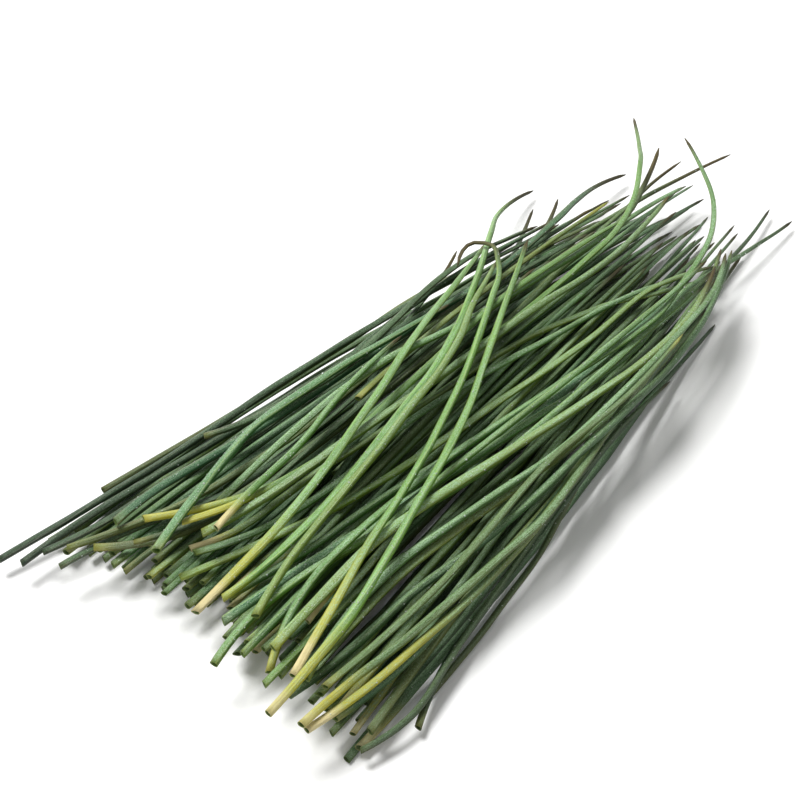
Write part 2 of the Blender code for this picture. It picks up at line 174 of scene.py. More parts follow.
# How fast a leaf's pattern changes along it, and from how many places in the pattern it may start
GRAIN_PER_MM = 0.05
GRAIN_STARTS = 90

# Drops of dew: sizes in millimetres, how often one is bigger and by how much, the heights and reaches of
# their rings against their size, their top, and any direction that no leaf lies in
DROP_SIZES = (0.12, 0.27)
BIG_DROP_SHARE = 0.06
BIG_DROP = 1.7
DROP_CORNERS = 6
DROP_RINGS = ((-0.3, 0.95), (0.35, 0.85), (0.75, 0.45))
DROP_TOP = 0.9
ODD_WAY = (0.3, 0.5, 0.8)

# Painted shade on a leaf that others cover: the depths in millimetres under the top where it starts and
# is darkest, and its darkest share. Painted shade on a low leaf: the heights in millimetres off the floor
# where it is darkest and no longer dark, and its darkest share
SHADE_FROM = 4.5
SHADE_TO = 16
COVERED_SHADE = 0.7
LOW_FROM = 4
LOW_TO = 17
LOW_SHADE = 0.9

# The camera: its angles in degrees, its distance in metres, its lens and sensor, and its target on the layout
AZIMUTH = -50
ELEVATION = 42
DISTANCE = 0.6
LENS = 85.5
SENSOR = 36
TARGET = (0, 14, 14)

# Each light's place and size in metres and its power, the light of the room, and the floor
LIGHTS = {
    "key_light": ((-0.10, 0.45, 1.00), 0.50, 15.5),
    "fill_light": ((-0.9, -0.6, 0.8), 0.9, 1.5),
}
ROOM_LIGHT = 0.36
FLOOR_REACH = 3.0
FLOOR_DARK = (0.90, 0.90, 0.89, 1)
FLOOR_LIGHT = (0.94, 0.94, 0.93, 1)

# Each leaf on top, in the order that they lie: half its width, points in millimetres on the layout where its
# cut end is hidden, points picked along it as pixels of the photo, points in millimetres where its far
# end is hidden, and how far its tip rises
LEAF_PICKS = {
    "tip_leaf_01": (
        1.3,
        [(-40, 6), (0, 10)],
        [(570, 245), (648, 195), (686, 175), (715, 160), (730, 154)],
        [],
        6,
    ),
    "tip_leaf_02": (
        1.2,
        [(-30, 2), (10, 6)],
        [(590, 240), (630, 205), (650, 187), (670, 165), (681, 161)],
        [],
        5,
    ),
    "tip_leaf_03": (
        1.7,
        [(-50, -4), (-5, 0)],
        [(560, 270), (600, 238), (630, 212), (644, 185), (658, 149)],
        [],
        8,
    ),
    "tip_leaf_04": (
        1.3,
        [(-70, -30)],
        [(600, 390), (650, 345), (690, 300), (727, 262), (771, 209)],
        [],
        3,
    ),
    "tip_leaf_05": (
        1.2,
        [(-60, 6), (-20, 18)],
        [(400, 330), (432, 290), (457, 251)],
        [],
        3,
    ),
    "tip_leaf_06": (
        1.3,
        [(-60, -2), (-20, 8)],
        [(470, 330), (497, 290), (512, 258), (533, 209)],
        [],
        2,
    ),
    "tip_leaf_07": (
        1.4,
        [(-40, 0), (0, 8)],
        [(505, 300), (530, 252), (547, 223), (558, 199)],
        [],
        2,
    ),
    "left_leaf_11": (
        1.5,
        [],
        [(103, 491), (150, 463), (230, 415), (330, 352), (440, 283)],
        [(90, 36)],
        0,
    ),
    "left_leaf_01": (
        1.5,
        [],
        [(0, 558), (180, 449), (280, 384), (380, 324), (560, 224)],
        [],
        0,
    ),
    "left_leaf_02": (
        1.5,
        [],
        [(22, 562), (96, 512), (180, 460), (380, 340), (460, 292)],
        [(118, 25)],
        0,
    ),
    "left_leaf_03": (
        1.4,
        [],
        [(44, 553), (80, 535), (130, 505), (200, 465), (270, 425)],
        [(40, 38), (106, 32)],
        0,
    ),
    "left_leaf_04": (
        1.3,
        [],
        [(60, 568), (89, 550), (122, 533), (175, 512), (240, 485)],
        [(40, 22), (106, 18)],
        0,
    ),
    "left_leaf_05": (
        1.4,
        [],
        [(65, 548), (112, 531), (170, 510), (240, 470), (300, 430)],
        [(60, 26), (120, 22)],
        0,
    ),
    "left_leaf_06": (
        1.6,
        [],
        [(92, 547), (133, 543), (175, 533), (225, 512)],
        [(40, 14), (102, 12)],
        0,
    ),
    "left_leaf_07": (
        1.2,
        [],
        [(124, 572), (140, 556), (160, 541), (190, 527)],
        [(0, 14), (70, 14)],
        0,
    ),
    "left_leaf_08": (
        1.2,
        [],
        [(134, 541), (165, 533), (200, 520), (250, 497)],
        [(30, 16), (84, 17)],
        0,
    ),
    "left_leaf_09": (
        1.7,
        [],
        [
            (115, 523), (153, 493), (235, 443), (345, 372),
            (470, 290), (550, 225), (591, 189), (625, 174),
        ],
        [],
        4,
    ),
    "left_leaf_10": (
        1.4,
        [],
        [(205, 435), (245, 423), (300, 395), (350, 362)],
        [(50, 38), (103, 37)],
        0,
    ),
    "tip_leaf_08": (
        1.2,
        [(-20, 14), (35, 20)],
        [(560, 235), (585, 219), (608, 203)],
        [],
        0,
    ),
    "top_leaf_01": (
        1.5,
        [(-72, 24), (-20, 22)],
        [(450, 330), (510, 295), (560, 265), (640, 214), (684, 190)],
        [],
        0,
    ),
    "cut_leaf_01": (
        1.4,
        [],
        [(189, 545), (230, 530), (300, 484), (390, 425), (520, 343), (608, 305), (666, 290)],
        [(125, -24)],
        0,
    ),
    "cut_leaf_02": (
        1.4,
        [],
        [(193, 554), (230, 543), (268, 525), (330, 487), (430, 408), (530, 350), (640, 292)],
        [(122, -18)],
        0,
    ),
    "yellow_leaf_01": (
        1.5,
        [],
        [(143, 518), (176, 512), (230, 502), (280, 482), (330, 452)],
        [(50, 9), (112, 5)],
        0,
    ),
    "yellow_leaf_02": (
        1.4,
        [],
        [
            (184, 521), (222, 507), (255, 494), (350, 440), (540, 300),
            (589, 256), (626, 216), (638, 177), (633, 118),
        ],
        [],
        18,
    ),
    "cut_leaf_03": (
        1.7,
        [],
        [(201, 534), (245, 510), (281, 489), (385, 413), (520, 315), (606, 262), (668, 212)],
        [],
        0,
    ),
    "cut_leaf_04": (
        1.5,
        [],
        [(179, 578), (217, 563), (320, 515), (395, 471), (492, 407), (584, 344), (660, 285)],
        [(125, -22)],
        0,
    ),
    "cut_leaf_05": (
        1.5,
        [],
        [(226, 598), (257, 578), (289, 561), (400, 485), (500, 425), (600, 364), (652, 330)],
        [(116, -25)],
        0,
    ),
    "cut_leaf_06": (
        1.8,
        [],
        [(221, 621), (255, 599), (311, 562), (430, 487), (500, 442)],
        [(72, -24), (120, -20)],
        0,
    ),
    "cut_leaf_07": (
        1.4,
        [],
        [
            (244, 654), (270, 624), (335, 557), (390, 515), (500, 440),
            (620, 362), (684, 294), (730, 262), (792, 220),
        ],
        [],
        3,
    ),
    "cut_leaf_08": (
        1.6,
        [],
        [(215, 664), (235, 633), (271, 600), (357, 545), (500, 458)],
        [(83, -29), (118, -26)],
        0,
    ),
    "cut_leaf_09": (
        1.5,
        [],
        [
            (267, 672), (301, 594), (330, 560), (430, 472), (540, 395),
            (646, 325), (684, 279), (709, 238), (713, 200), (685, 138),
        ],
        [],
        10,
    ),
    "cut_leaf_10": (
        1.4,
        [],
        [(262, 684), (283, 666), (350, 600), (420, 545), (570, 450)],
        [(110, -30)],
        0,
    ),
    "cut_leaf_11": (
        1.4,
        [],
        [(305, 622), (334, 584), (390, 525), (440, 480)],
        [(60, -27), (113, -26)],
        0,
    ),
    "right_leaf_01": (
        1.2,
        [(-80, -62)],
        [(541, 550), (569, 497), (620, 410), (672, 335)],
        [(124, -27)],
        0,
    ),
    "right_leaf_02": (
        1.3,
        [],
        [(420, 729), (428, 706), (450, 661), (520, 562), (620, 430)],
        [(110, -34)],
        0,
    ),
    "right_leaf_03": (
        1.2,
        [],
        [(361, 750), (382, 741), (415, 710), (450, 657), (540, 530)],
        [(70, -42)],
        0,
    ),
    "right_leaf_04": (
        1.6,
        [],
        [(368, 730), (402, 687), (463, 604), (560, 490), (660, 358)],
        [(119, -30)],
        0,
    ),
    "right_leaf_05": (
        1.4,
        [],
        [(334, 720), (353, 710), (440, 628), (540, 520), (650, 378)],
        [(112, -31)],
        0,
    ),
    "right_leaf_06": (
        1.5,
        [],
        [(306, 731), (353, 699), (449, 618), (500, 568), (545, 515)],
        [(70, -40), (114, -33)],
        0,
    ),
    "right_leaf_07": (
        1.5,
        [],
        [(303, 725), (328, 700), (410, 634), (500, 557), (560, 500)],
        [(75, -38), (120, -30)],
        0,
    ),
    "right_leaf_08": (
        1.6,
        [],
        [(288, 698), (338, 662), (410, 595), (520, 513), (675, 360)],
        [(124, -29)],
        0,
    ),
    "right_leaf_09": (
        1.6,
        [],
        [(300, 678), (345, 632), (415, 564), (560, 455), (668, 350)],
        [(122, -26)],
        0,
    ),
    "top_leaf_02": (
        1.8,
        [(-104, -28)],
        [(370, 550), (432, 500), (528, 440), (664, 345)],
        [(110, -31)],
        0,
    ),
    "top_leaf_03": (
        1.5,
        [(-106, -42)],
        [(380, 580), (489, 500), (565, 446), (693, 318)],
        [(118, -30)],
        0,
    ),
    "tip_leaf_09": (
        1.3,
        [(-104, -47), (-55, -49)],
        [(540, 470), (611, 408), (649, 372), (682, 334)],
        [],
        0,
    ),
    "crossing_leaf_01": (
        1.7,
        [],
        [(158, 552), (186, 510), (223, 463), (246, 435), (315, 383), (450, 305)],
        [],
        0,
    ),
    "crossing_leaf_02": (
        1.4,
        [(-88, 8)],
        [(262, 481), (300, 445), (330, 405), (368, 365), (401, 335)],
        [],
        0,
    ),
    "crossing_leaf_03": (
        1.6,
        [],
        [(195, 612), (228, 577), (255, 553), (342, 448), (419, 332), (487, 243)],
        [],
        0,
    ),
    "crossing_leaf_04": (
        1.5,
        [],
        [
            (222, 600), (292, 539), (385, 430), (447, 345),
            (480, 272), (487, 245), (501, 211), (533, 190),
        ],
        [],
        3,
    ),
    "crossing_leaf_05": (
        1.5,
        [(-99, -17)],
        [(300, 545), (401, 421), (451, 352), (470, 314), (496, 262)],
        [],
        0,
    ),
    "crossing_leaf_06": (
        1.5,
        [],
        [
            (293, 675), (342, 591), (395, 505), (461, 383), (490, 305), (498, 277),
            (497, 260), (491, 247), (480, 241), (466, 250), (459, 268),
        ],
        [],
        1,
    ),
    "crossing_leaf_07": (
        1.6,
        [],
        [(267, 713), (301, 675), (362, 599), (459, 425), (503, 305), (527, 245)],
        [],
        0,
    ),
}

# How a leaf's route is found. Each turn lays the leaf and moves the heights of its picks to where it lies:
# turns in all, turns before its points snap to whole millimetres, turns that move the heights fast, and the
# share that a fast and a slow turn moves them. A route fits well when its squared misses in pixels add up to
# less than GOOD_FIT, and takes the place of another when it is better by BETTER_BY
PHOTO_WIDTH = 800
FIT_TURNS = 26
LOOSE_TURNS = 4
FAST_TURNS = 6
FAST_SHARE = 0.5
SLOW_SHARE = 0.25
GOOD_FIT = 60
BETTER_BY = 0.5
FIT_STEPS = 10

# The heights in millimetres that the search starts from, and the leaves that lie low
START_HEIGHTS = (20.0, 10.0, 26.0)
LOW_START_HEIGHTS = (3.0, 8.0, 14.0)
LOW_LEAVES = ("right_leaf", "tip_leaf_09")


class HeightMap:
    """How high the leaves laid so far reach, over a grid of the surface, and which leaf is on top."""

    def __init__(self):
        shape = [round((high - low) / CELL) for low, high in (MAP_X, MAP_Y)]
        self.top = np.full(shape, -CLEARANCE)
        self.owner = np.full(shape, -1)
        self.laid = 0

    def cells(self, points):
        i = ((points[..., 0] - MAP_X[0]) / CELL).astype(int)
        j = ((points[..., 1] - MAP_Y[0]) / CELL).astype(int)
        return np.clip(i, 0, self.top.shape[0] - 1), np.clip(j, 0, self.top.shape[1] - 1)

    def lowest_rest(self, path, side, half_width):
        """The lowest height of a leaf's middle line at which it clears what lies under it."""
        share = np.linspace(-1, 1, TRIED_PLACES)
        reach = half_width[:, None] + CLEARANCE
        spots = path[:, None, :] + side[:, None, :] * (reach * share)[..., None]
        arch = np.sqrt(1 - ARCH_FALL * share**2)
        rise = (THICKNESS * half_width[:, None] + CLEARANCE) * arch
        return (self.top[self.cells(spots)] + rise).max(axis=1)

    def add(self, path, side, height, half_width):
        share = np.linspace(-MARKED_REACH, MARKED_REACH, MARKED_PLACES)
        spots = path[:, None, :] + side[:, None, :] * (half_width[:, None] * share)[..., None]
        arch = np.sqrt(np.maximum(0, 1 - share**2))
        top = (height[:, None] + THICKNESS * half_width[:, None] * arch).ravel()
        i, j = (cells.ravel() for cells in self.cells(spots))
        order = np.argsort(top)
        i, j, top = i[order], j[order], top[order]
        higher = top > self.top[i, j]
        self.top[i[higher], j[higher]] = top[higher]
        self.owner[i[higher], j[higher]] = self.laid
        self.laid += 1


def smooth_path(points, count):
    """Evenly spaced stations on a smooth curve through the points."""
    points = np.array(points, float)
    along = np.r_[0, np.cumsum(np.linalg.norm(np.diff(points, axis=0), axis=1))]
    slope = np.empty_like(points)
    slope[1:-1] = (points[2:] - points[:-2]) / (along[2:] - along[:-2])[:, None]
    slope[0] = 2 * (points[1] - points[0]) / along[1] - slope[1]
    slope[-1] = 2 * (points[-1] - points[-2]) / (along[-1] - along[-2]) - slope[-2]
    stations = np.linspace(0, along[-1], count)
    k = np.clip(np.searchsorted(along, stations, side="right") - 1, 0, len(points) - 2)
    span = (along[k + 1] - along[k])[:, None]
    u = (stations - along[k])[:, None] / span
    return (
        (2 * u**3 - 3 * u**2 + 1) * points[k]
        + (u**3 - 2 * u**2 + u) * span * slope[k]
        + (3 * u**2 - 2 * u**3) * points[k + 1]
        + (u**3 - u**2) * span * slope[k + 1]
    )


def sideways(path):
    """Level unit vectors to the right of a path seen from above."""
    along = np.gradient(path, axis=0)
    along /= np.linalg.norm(along, axis=1)[:, None]
    return np.stack([along[:, 1], -along[:, 0]], axis=1)


def station_shares(count, steps):
    """For each step of the straight runs between stations: the station before it, and its share."""
    spots = np.linspace(0, count - 1, (count - 1) * steps + 1)
    before = np.minimum(spots.astype(int), count - 2)
    return before, spots - before


def between(values, steps):
    before, share = station_shares(len(values), steps)
    if values.ndim > 1:
        share = share[:, None]
    return values[before] * (1 - share) + values[before + 1] * share


def millimetre_steps(path):
    longest = np.linalg.norm(np.diff(path, axis=0), axis=1).max()
    return max(4, math.ceil(longest))


def settle(heights, path, half_width):
    """Heights of the stations of a limp leaf laid down on what is there, clear of it all along."""
    steps = millimetre_steps(path)
    side = sideways(path)
    rest = heights.lowest_rest(between(path, steps), between(side, steps), between(half_width, steps))
    before, share = station_shares(len(path), steps)
    height = rest[::steps].copy()
    for _ in range(SETTLE_ROUNDS):
        bent = height.copy()
        bent[1:-1] = 0.5 * height[1:-1] + 0.25 * (height[:-2] + height[2:])
        bent[0] = (1 - END_GIVE) * height[0] + END_GIVE * (2 * height[1] - height[2])
        bent[-1] = (1 - END_GIVE) * height[-1] + END_GIVE * (2 * height[-2] - height[-3])
        height = bent - SINK
        for _ in range(LIFT_ROUNDS):
            short = rest - between(height, steps)
            rise = np.zeros(len(path))
            np.maximum.at(rise, before, short * (1 - share))
            np.maximum.at(rise, before + 1, short * share)
            height += rise
    short = np.maximum(rest - between(height, steps), 0)
    rise = np.zeros(len(path))
    np.maximum.at(rise, before, short)
    np.maximum.at(rise, before + 1, short)
    return height + rise


def resting_spine(heights, path, half_width, tip_rise):
    """The stations of a leaf as (x, y, z) once it has settled, with its tip risen."""
    share = np.linspace(0, 1, len(path))
    lift = tip_rise * np.clip(1 - (1 - share) / RISING_SHARE, 0, 1) ** RISE_POWER
    return np.column_stack([path, settle(heights, path, half_width) + lift])


def lay_leaf(heights, path, half_width, tip_rise=0):
    """Lays a leaf on the heap and returns its stations as (x, y, z)."""
    spine = resting_spine(heights, path, half_width, tip_rise)
    steps = 2 * millimetre_steps(path)
    heights.add(
        between(path, steps),
        between(sideways(path), steps),
        between(spine[:, 2], steps),
        between(half_width, steps),
    )
    return spine


def taper(count, half_width):
    """Half widths along a leaf: a little slimmer at the cut, fullest after it, fine at the tip."""
    share = np.linspace(0, 1, count)
    base = CUT_WIDTH + CUT_GAIN * np.clip(share / GAIN_LENGTH, 0, 1)
    return half_width * base * (1 - EVEN_LOSS * share - TIP_LOSS * share**TIP_POWER)


def half_spread(x):
    """Half the bunch's width at x."""
    share = (x - CUT_END_X) / HEAP_LENGTH
    bulge = BULGE * np.sin(math.pi * np.clip(share, 0, 1))
    return CUT_HALF_WIDTH + (TIP_HALF_WIDTH - CUT_HALF_WIDTH) * share + bulge


def middle_line(x):
    """How far the bunch's middle leans to its left at x."""
    return LEAN * np.clip((x - CUT_END_X) / LEAN_LENGTH, 0, 1)


def dome(path):
    """The height that the heap fills up to."""
    off_middle = path[:, 1] - middle_line(path[:, 0])
    across = np.clip(off_middle / (half_spread(path[:, 0]) + DOME_MARGIN), -1, 1)
    fall = 1 - CROWN_FALL * np.clip((path[:, 0] - FALL_FROM) / FALL_LENGTH, 0, 1)
    return CROWN_HEIGHT * np.sqrt(1 - across**2) * fall


def heap_path(draw, height_share):
    """A leaf's way through the heap: low leaves are drawn back from the cut end."""
    across = draw.uniform(-1, 1)
    recess = RECESS * (1 - height_share)
    start = CUT_END_X + recess - CUT_CURVE * across**2 + draw.uniform(*CUT_MOVES)
    length = min(LONGEST_LEAF, max(SHORTEST_LEAF, draw.gauss(MEAN_LEAF, LENGTH_SPREAD)))
    y_cut = CUT_HALF_WIDTH * across
    y_tip = TIP_HALF_WIDTH * across + LEAN + draw.gauss(0, TIP_SPREAD)
    y_middle = (y_cut + y_tip + LEAN) / 2 + BULGE * across + draw.gauss(0, MIDDLE_SPREAD)
    points = [(start, y_cut), (start + length / 2, y_middle), (start + length, y_tip)]
    return smooth_path(points, STATIONS)


def lay_heap(heights):
    """The heap's leaves, each laid where the heap is furthest below its dome: (spine, half widths)."""
    draw = random.Random(SEED)
    leaves = []
    for number in range(HEAP_LEAVES):
        half_width = taper(STATIONS, draw.uniform(SLIMMEST_HALF_WIDTH, WIDEST_HALF_WIDTH))
        lowest = None
        for _ in range(HEAP_TRIES):
            path = heap_path(draw, number / HEAP_LEAVES)
            fine = between(path, 4)
            rest = heights.lowest_rest(fine, between(sideways(path), 4), between(half_width, 4))
            spare = (rest - dome(fine)).mean()
            if lowest is None or spare < lowest[0]:
                lowest = (spare, path)
        leaves.append((lay_leaf(heights, lowest[1], half_width), half_width))
    return leaves


def towards_camera():
    """The unit vector from the camera's target to the camera."""
    azimuth, elevation = math.radians(AZIMUTH), math.radians(ELEVATION)
    return (
        math.sin(azimuth) * math.cos(elevation),
        -math.cos(azimuth) * math.cos(elevation),
        math.sin(elevation),
    )


class Photo:
    """Where the photo's pixels and the layout's points meet, in millimetres."""

    def __init__(self):
        azimuth = math.radians(AZIMUTH)
        self.back = np.array(towards_camera())
        self.right = np.array([math.cos(azimuth), math.sin(azimuth), 0.0])
        self.up = np.cross(self.back, self.right)
        self.place = np.array(TARGET) + self.back * (DISTANCE / MM)
        self.middle = PHOTO_WIDTH / 2
        self.reach = LENS / SENSOR * PHOTO_WIDTH

    def pixels(self, points):
        away = points - self.place
        depth = -(away @ self.back)
        across = self.middle + self.reach * (away @ self.right) / depth
        down = self.middle - self.reach * (away @ self.up) / depth
        return np.column_stack([across, down])

    def under(self, pixel, height):
        """The x and y of what shows at a pixel and lies at this height."""
        across, down = (pixel - self.middle) / self.reach
        ray = self.right * across - self.up * down - self.back
        return (self.place + ray * ((height - self.place[2]) / ray[2]))[:2]


def fitted_path(heights, photo, name, widths):
    """The path on which a leaf, once settled, shows at its picked pixels."""
    _, head, picks, tail, tip_rise = LEAF_PICKS[name]
    head, picks, tail = (np.array(points, float).reshape(-1, 2) for points in (head, picks, tail))
    starts = LOW_START_HEIGHTS if name.startswith(LOW_LEAVES) else START_HEIGHTS
    best_score, best_path = math.inf, None
    for start in starts:
        if best_score < GOOD_FIT:
            break
        pick_heights = np.full(len(picks), start)
        for turn in range(FIT_TURNS):
            seen = np.array([photo.under(pick, height) for pick, height in zip(picks, pick_heights)])
            if turn >= LOOSE_TURNS:
                seen = seen.round()
            path = smooth_path(np.concatenate([head, seen, tail]), len(widths))
            fine = between(resting_spine(heights, path, widths, tip_rise), FIT_STEPS)
            misses = np.linalg.norm(picks[:, None] - photo.pixels(fine)[None], axis=2).min(axis=1)
            score = (misses**2).sum()
            if turn >= LOOSE_TURNS and score < best_score - BETTER_BY:
                best_score, best_path = score, path
            nearest = np.linalg.norm(fine[None, :, :2] - seen[:, None], axis=2).argmin(axis=1)
            share = FAST_SHARE if turn < FAST_TURNS else SLOW_SHARE
            pick_heights = pick_heights + share * (fine[nearest, 2] - pick_heights)
    return best_path


def lay_top_leaves(heights):
    """The leaves that are seen one by one, in the order they lie: {name: (spine, half widths)}."""
    photo = Photo()
    leaves = {}
    for name, (half_width, head, picks, tail, tip_rise) in LEAF_PICKS.items():
        points = len(head) + len(picks) + len(tail)
        widths = taper(STATIONS + MORE_STATIONS * max(0, points - ROUTE_POINTS), half_width)
        path = fitted_path(heights, photo, name, widths)
        leaves[name] = (lay_leaf(heights, path, widths, tip_rise), widths)
    return leaves


def coarse_low(spine, half_width):
    """The lowest corner of a leaf's five-cornered solid, which fixes where the layout lies."""
    along = np.gradient(spine, axis=0)
    along /= np.linalg.norm(along, axis=1)[:, None]
    side = np.column_stack([sideways(spine[:, :2]), np.zeros(len(spine))])
    up = np.cross(side, along)
    turns = math.pi / 2 + 2 * math.pi * np.arange(SOLID_CORNERS) / SOLID_CORNERS
    rings = (
        spine[:, None, :]
        + side[:, None, :] * (half_width[:, None] * np.cos(turns))[..., None]
        + up[:, None, :] * (THICKNESS * half_width[:, None] * np.sin(turns))[..., None]
    )
    return rings.reshape(-1, 3).min(axis=0)


def waves(draw, along, lengths, size):
    """A smooth random wander along a leaf, made of a few sines of the given lengths."""
    total = np.zeros(len(along))
    for length in lengths:
        total += np.sin(2 * math.pi * (along / length + draw.random())) * draw.uniform(0.5, 1)
    return total * size / len(lengths)


def smooth_step(values, start, end):
    share = np.clip((values - start) / max(end - start, 0.01), 0, 1)
    return share * share * (3 - 2 * share)


class Look:
    """What sets one leaf apart.

    Lengths in millimetres: the pale base, the yellow stretch after it, the dry tip and a golden tip.
    Shares: how light its green is from -1 to 1, how yellow and how blue it is all over.
    """

    def __init__(self, pale=2, warm=0, dry=8, tint=0.0, warm_all=0.0, blue=0.0, gold=0):
        self.pale = pale
        self.warm = warm
        self.dry = dry
        self.tint = tint
        self.warm_all = warm_all
        self.blue = blue
        self.gold = gold


def random_look(draw):
    pale = draw.uniform(0, 0.6)
    warm = draw.uniform(0, 5)
    if draw.random() < 0.08:
        pale = draw.uniform(3, 8)
        warm = draw.uniform(10, 30)
    dry = draw.uniform(3, 9)
    if draw.random() < 0.2:
        dry = draw.uniform(9, 20)
    tint = draw.uniform(-1, 1)
    return Look(pale, warm, dry, tint, draw.uniform(0, 0.45) ** 1.4, draw.uniform(0, 0.5) ** 1.6)


def fine_leaf(draw, heights, spine, full_width, look, origin):
    """A fine leaf on its settled stations: points, faces and what its material reads at each point."""
    length = np.linalg.norm(np.diff(spine, axis=0), axis=1).sum()
    count = max(FEWEST_RINGS, math.ceil(length / RING_STEP))
    spine = smooth_path(spine, count)
    mm = np.linspace(0, length, count)
    buried = heights.top[heights.cells(spine[:, :2])] - spine[:, 2]
    widths = taper(count, full_width) * (1 + waves(draw, mm, WIDTH_WAVES, WIDTH_WAVER))
    widths *= np.sqrt(np.clip((length - mm) / TIP_ROUNDING, TIP_LEFT, 1))
    along = np.gradient(spine, axis=0)
    along /= np.linalg.norm(along, axis=1)[:, None]
    side = np.column_stack([sideways(spine[:, :2]), np.zeros(count)])
    up = np.cross(side, along)
    free = smooth_step(mm, 0, WAVER_FROM)
    spine = spine + side * (waves(draw, mm, SIDE_WAVES, SIDE_WAVER) * free)[:, None]
    flat = THICKNESS * (1 + waves(draw, mm, FLAT_WAVES, FLAT_WAVER))
    turn = draw.uniform(0, 2 * math.pi) + TURN_PER_MM * mm * draw.uniform(-TURN_SPREAD, TURN_SPREAD)
    turn = turn + waves(draw, mm, TURN_WAVES, TURN_WAVER)

    corner = 2 * math.pi * np.arange(CORNERS) / CORNERS
    angle = turn[:, None] + corner
    reach = 1 - RIDGE_SHARE * np.abs(np.sin(RIDGES * corner / 2))
    across = FINE_REACH * widths[:, None] * reach * np.cos(angle)
    over = (flat * widths)[:, None] * reach * np.sin(angle)
    rings = spine[:, None, :] + side[:, None, :] * across[..., None] + up[:, None, :] * over[..., None]

    slant = draw.uniform(-SLANT, SLANT) * across[0]
    inner = []
    for depth, share, _ in BORE_RINGS:
        ring = spine[0] + (rings[0] - spine[0]) * share + along[0] * depth
        inner.append(ring + along[0] * (slant * share)[:, None])
    rings[0] = rings[0] + along[0] * slant[:, None]
    rings = np.concatenate([np.array(inner)[::-1], rings])
    rings[..., 2] = np.maximum(rings[..., 2], 0)

    extra = len(BORE_RINGS)
    mm = np.r_[[-1.0] * extra, mm]
    # The cut face's own green at the rim, and painted shade deeper in the bore
    dark = np.array([bore_shade for *_, bore_shade in BORE_RINGS])[::-1]
    cut_face_and_bore_shade = np.r_[dark * 0.5 + 0.5, np.zeros(count)]
    pale = 1 - smooth_step(mm, 0.7 * look.pale, look.pale + PALE_FADE)
    pale = min(1, look.pale / FULL_PALE) * pale
    warm = 1 - smooth_step(mm, 0.4 * look.warm, 1.3 * look.warm + WARM_FADE)
    warm = min(1, look.warm / FULL_WARM) * warm
    gold = smooth_step(mm, length - 1.3 * look.gold, length)
    warm = np.clip(warm + look.warm_all + gold, 0, 1)
    dry = smooth_step(mm, length - 1.4 * look.dry, length - 0.3 * look.dry)
    ridge = (reach - reach.min()) / (reach.max() - reach.min())
    grain_start = draw.uniform(0, GRAIN_STARTS)
    # Painted shade: darker where other leaves lie over this one, and where it lies low near the floor
    covered_shade = COVERED_SHADE * smooth_step(buried, SHADE_FROM, SHADE_TO)
    low = LOW_SHADE * (1 - smooth_step(spine[:, 2], LOW_FROM, LOW_TO))
    shade = np.maximum(covered_shade, low)
    shade = np.r_[[shade[0]] * extra, shade]

    total = len(mm)
    grain = np.zeros((total, CORNERS, 3))
    grain[..., 0] = np.cos(corner)
    grain[..., 1] = np.sin(corner)
    grain[..., 2] = (mm * GRAIN_PER_MM + grain_start)[:, None]
    leaf = np.zeros((total, CORNERS, 3))
    leaf[..., 0] = 0.5 + 0.5 * look.tint
    leaf[..., 1] = dry[:, None]
    leaf[..., 2] = pale[:, None]
    mark = np.zeros((total, CORNERS, 3))
    mark[..., 0] = cut_face_and_bore_shade[:, None]
    mark[..., 1] = warm[:, None]
    mark[..., 2] = ridge
    place = np.zeros((total, CORNERS, 3))
    place[..., 0] = shade[:, None]
    place[..., 1] = (mm / length)[:, None]
    place[..., 2] = look.blue
    points = rings.reshape(-1, 3) - origin
    return points, tube_faces(total), [part.reshape(-1, 3) for part in (grain, leaf, mark, place)]


def tube_faces(count):
    """Faces that close a row of rings into one solid, facing out."""
    faces = [tuple(range(CORNERS))]
    for ring in range(count - 1):
        a, b = ring * CORNERS, (ring + 1) * CORNERS
        for corner in range(CORNERS):
            beside = (corner + 1) % CORNERS
            faces.append((a + corner, b + corner, b + beside, a + beside))
    faces.append(tuple(reversed(range((count - 1) * CORNERS, count * CORNERS))))
    return faces


def dew_on(draw, points, number):
    """Little drops on the upper side of a leaf: points and faces."""
    found, faces = [], []
    rings = points[len(BORE_RINGS) * CORNERS :].reshape(-1, CORNERS, 3)
    middle = rings.mean(axis=1)
    for _ in range(number):
        ring = draw.randrange(2, len(rings) - 6)
        top = np.argsort(-rings[ring, :, 2])[:5]
        spot = rings[ring, draw.choice(list(top))]
        spot = spot + (rings[ring + 1].mean(axis=0) - middle[ring]) * draw.random()
        out = spot - middle[ring]
        out /= np.linalg.norm(out)
        size = draw.uniform(*DROP_SIZES) * (BIG_DROP if draw.random() < BIG_DROP_SHARE else 1)
        ahead = np.cross(out, ODD_WAY)
        ahead /= np.linalg.norm(ahead)
        beside = np.cross(out, ahead)
        start = len(found)
        for height, reach in DROP_RINGS:
            for corner in range(DROP_CORNERS):
                turn = 2 * math.pi * corner / DROP_CORNERS
                round_it = ahead * math.cos(turn) + beside * math.sin(turn)
                found.append(spot + size * (out * height + reach * round_it))
        found.append(spot + size * out * DROP_TOP)
        last = start + DROP_CORNERS * (len(DROP_RINGS) - 1)
        for ring_start in range(start, last, DROP_CORNERS):
            for corner in range(DROP_CORNERS):
                here = ring_start + corner
                following = ring_start + (corner + 1) % DROP_CORNERS
                faces.append((here, following, following + DROP_CORNERS, here + DROP_CORNERS))
        for corner in range(DROP_CORNERS):
            faces.append((last + corner, last + (corner + 1) % DROP_CORNERS, last + DROP_CORNERS))
        faces.append(tuple(start + corner for corner in reversed(range(DROP_CORNERS))))
    return np.array(found).reshape(-1, 3), faces


